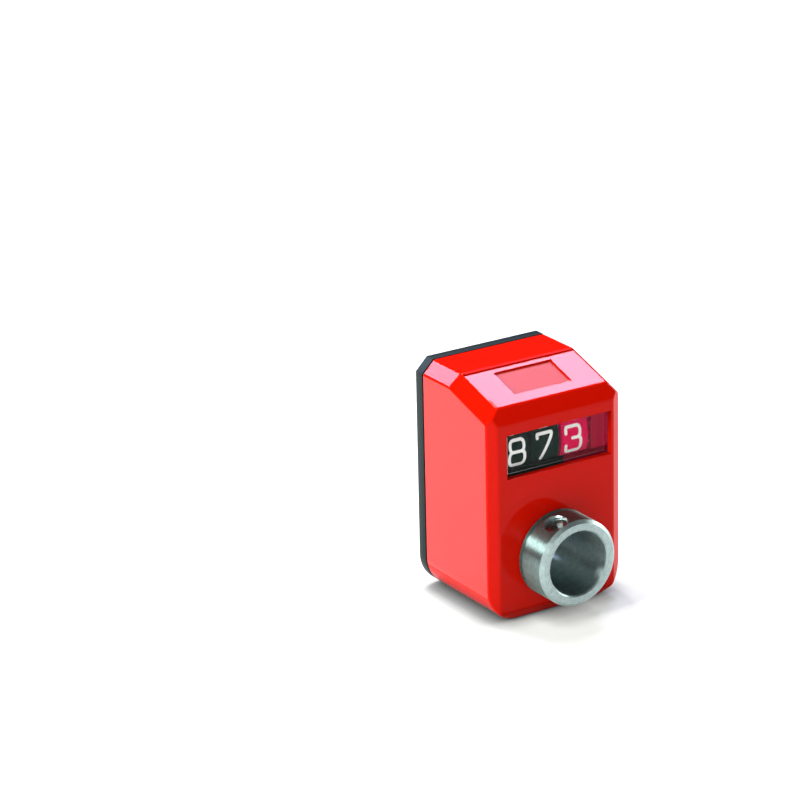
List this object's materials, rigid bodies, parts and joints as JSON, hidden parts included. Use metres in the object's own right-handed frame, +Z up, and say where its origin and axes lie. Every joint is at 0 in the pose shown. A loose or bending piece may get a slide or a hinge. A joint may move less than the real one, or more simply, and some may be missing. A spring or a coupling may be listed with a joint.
{
  "type": "mechanical position indicator",
  "caption": "Compact mechanical position indicator: sloped red case on a dark base, clear window over number wheels, geared to a hollow steel bush clamped on a shaft by a set screw.",
  "frame": {"origin": "on the bush axis, at the rear mounting face", "axes": "+Y out of the rear face along the bush, front with the window toward -Y, +Z up from the bush to the window"},
  "size_m": [0.0236, 0.0311, 0.0364],
  "materials": {
    "red_case": "glossy moulded plastic",
    "clear_pane": "clear moulded pane",
    "dark_base": "dark moulded plastic",
    "dark_frame": "dark moulded plastic",
    "shaft_steel": "drawn steel pin",
    "black_wheel": "satin moulded plastic",
    "crimson_wheel": "satin moulded plastic",
    "grey_carrier": "moulded plastic",
    "white_gear": "moulded acetal",
    "bush_steel": "turned stainless steel",
    "screw_steel": "blackened steel",
    "seal_rubber": "moulded rubber",
    "ring_steel": "spring steel"
  },
  "bodies": {
    "housing": {"case": "red_case", "window_pane": "clear_pane", "base": "dark_base", "counter_frame": "dark_frame", "wheel_shaft": "shaft_steel", "hundreds_carrier": "grey_carrier", "tens_carrier": "grey_carrier", "thrust_washer": "ring_steel", "gear_guard": "crimson_wheel"},
    "bush": {"bush": "bush_steel", "drive_gear": "white_gear", "set_screw": "screw_steel", "front_seal": "seal_rubber", "rear_seal": "seal_rubber", "retaining_ring": "ring_steel"},
    "layshaft": {"layshaft": "shaft_steel", "helical_pinion": "white_gear", "spur_pinion": "white_gear"},
    "units": {"units_wheel": "crimson_wheel"},
    "tens": {"tens_wheel": "black_wheel"},
    "hundreds": {"hundreds_wheel": "black_wheel"},
    "tens_carry": {"tens_carry_pinion": "white_gear"},
    "hundreds_carry": {"hundreds_carry_pinion": "white_gear"}
  },
  "joints": [
    {"name": "bush_spin", "type": "hinge", "parent": "housing", "child": "bush", "pos_m": [0, 0, 0], "axis": [0, 1, 0], "continuous": true},
    {"name": "layshaft_spin", "type": "hinge", "parent": "housing", "child": "layshaft", "pos_m": [0, -0.01493, 0.00866], "axis": [1, 0, 0], "continuous": true},
    {"name": "units_spin", "type": "hinge", "parent": "housing", "child": "units", "pos_m": [0, -0.0091, 0.01637], "axis": [1, 0, 0], "continuous": true},
    {"name": "tens_spin", "type": "hinge", "parent": "housing", "child": "tens", "pos_m": [0, -0.0091, 0.01637], "axis": [1, 0, 0], "continuous": true},
    {"name": "hundreds_spin", "type": "hinge", "parent": "housing", "child": "hundreds", "pos_m": [0, -0.0091, 0.01637], "axis": [1, 0, 0], "continuous": true},
    {"name": "tens_carry_spin", "type": "hinge", "parent": "housing", "child": "tens_carry", "pos_m": [0, -0.007, 0.02001], "axis": [1, 0, 0], "continuous": true},
    {"name": "hundreds_carry_spin", "type": "hinge", "parent": "housing", "child": "hundreds_carry", "pos_m": [0, -0.007, 0.02001], "axis": [1, 0, 0], "continuous": true}
  ],
  "couplings": [
    {"joint": "layshaft_spin", "follows": "bush_spin", "ratio": -6},
    {"joint": "units_spin", "follows": "bush_spin", "ratio": 2},
    {"joint": "tens_spin", "follows": "bush_spin", "ratio": 0.2},
    {"joint": "hundreds_spin", "follows": "bush_spin", "ratio": 0.02},
    {"joint": "tens_carry_spin", "follows": "bush_spin", "ratio": 0.66667},
    {"joint": "hundreds_carry_spin", "follows": "bush_spin", "ratio": 0.066667}
  ]
}
